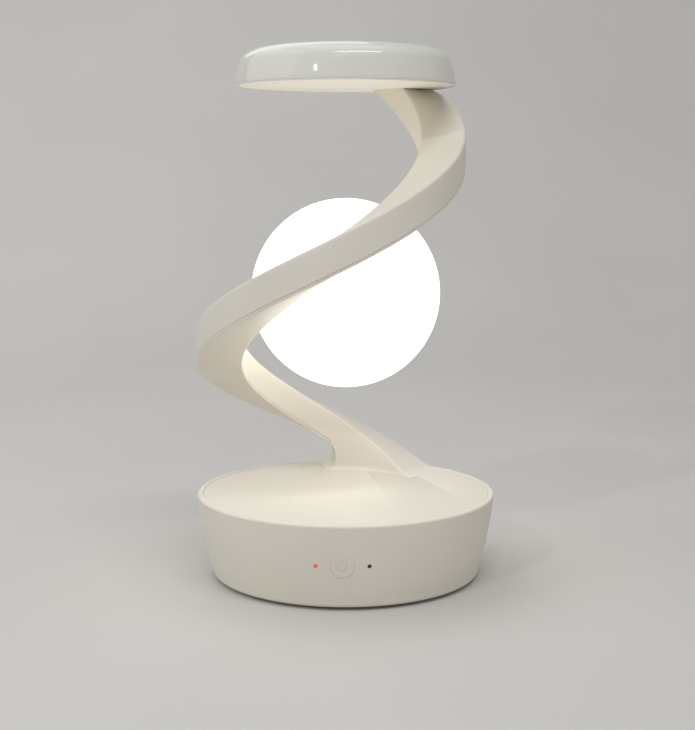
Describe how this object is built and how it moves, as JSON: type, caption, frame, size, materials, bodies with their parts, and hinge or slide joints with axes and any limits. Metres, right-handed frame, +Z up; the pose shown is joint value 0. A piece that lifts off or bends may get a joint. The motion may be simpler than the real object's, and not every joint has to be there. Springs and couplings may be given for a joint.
{
  "type": "wireless charging lamp",
  "caption": "Table lamp with a round base, a motor turntable, a spiral ribbon arm, a glowing globe held inside the spiral and a round wireless charging pad on top.",
  "frame": {"origin": "on the table, under the middle of the base", "axes": "+Z up along the axis of the turntable, -Y to the front, where the power button is"},
  "size_m": [0.1199, 0.1198, 0.2097],
  "materials": {
    "warm_white_plastic": "satin",
    "gloss_white_plastic": "gloss",
    "opal_diffuser": "satin, lit from inside",
    "black_rubber": "matte",
    "grey_silicone": "matte",
    "plain_steel": "plain",
    "ballast_iron": "plain",
    "natural_nylon": "matte",
    "bronze": "plain",
    "copper_wire": "enamelled",
    "circuit_board": "solder mask",
    "white_circuit_board": "solder mask",
    "led_phosphor": "matte",
    "black_plastic": "matte",
    "ferrite": "matte",
    "cable_jacket": "matte",
    "led_epoxy": "clear",
    "red_lens": "clear",
    "dark_lens": "clear"
  },
  "bodies": {
    "base": {"base_shell": "warm_white_plastic", "bottom_cover": "warm_white_plastic", "cover_screws": "plain_steel", "rubber_feet": "black_rubber", "ballast_plate": "ballast_iron", "bearing_bush": "natural_nylon", "thrust_washer": "bronze", "gear_motor": "plain_steel", "motor_screws": "plain_steel", "slip_ring_stator": "black_plastic", "main_board": "circuit_board", "board_parts": "black_plastic", "board_screws": "plain_steel", "usb_socket": "plain_steel", "front_board": "circuit_board", "front_screws": "plain_steel", "switch_body": "black_plastic", "status_leds": "led_epoxy", "power_lens": "red_lens", "charge_lens": "dark_lens"},
    "button": {"power_button": "warm_white_plastic", "switch_plunger": "black_plastic"},
    "pinion": {"motor_shaft": "plain_steel", "motor_pinion": "natural_nylon"},
    "turntable": {"turntable_plate": "warm_white_plastic", "turntable_gear": "natural_nylon", "gear_screws": "plain_steel", "retaining_clip": "plain_steel", "slip_ring_rotor": "black_plastic", "spiral_arm": "warm_white_plastic", "arm_cover": "warm_white_plastic", "arm_screws": "plain_steel", "arm_cable": "cable_jacket", "globe": "opal_diffuser", "globe_neck": "gloss_white_plastic", "globe_nut": "plain_steel", "globe_lead": "cable_jacket", "led_stick": "white_circuit_board", "led_chips": "led_phosphor", "pad_top": "gloss_white_plastic", "pad_base": "warm_white_plastic", "pad_screws": "plain_steel", "charging_coil": "copper_wire", "ferrite_disc": "ferrite", "coil_board": "circuit_board", "coil_parts": "black_plastic", "grip_ring": "grey_silicone"}
  },
  "joints": [
    {"name": "button_press", "type": "slide", "parent": "base", "child": "button", "axis": [0, 1, 0], "range_m": [0, 0.0008], "stiffness_N_per_m": 2000},
    {"name": "turntable_spin", "type": "hinge", "parent": "base", "child": "turntable", "pos_m": [0, 0, 0.03], "axis": [0, 0, 1], "continuous": true},
    {"name": "pinion_spin", "type": "hinge", "parent": "base", "child": "pinion", "pos_m": [-0.0375, 0, 0.028], "axis": [0, 0, 1], "continuous": true}
  ],
  "couplings": [
    {"joint": "pinion_spin", "follows": "turntable_spin", "ratio": -4}
  ]
}
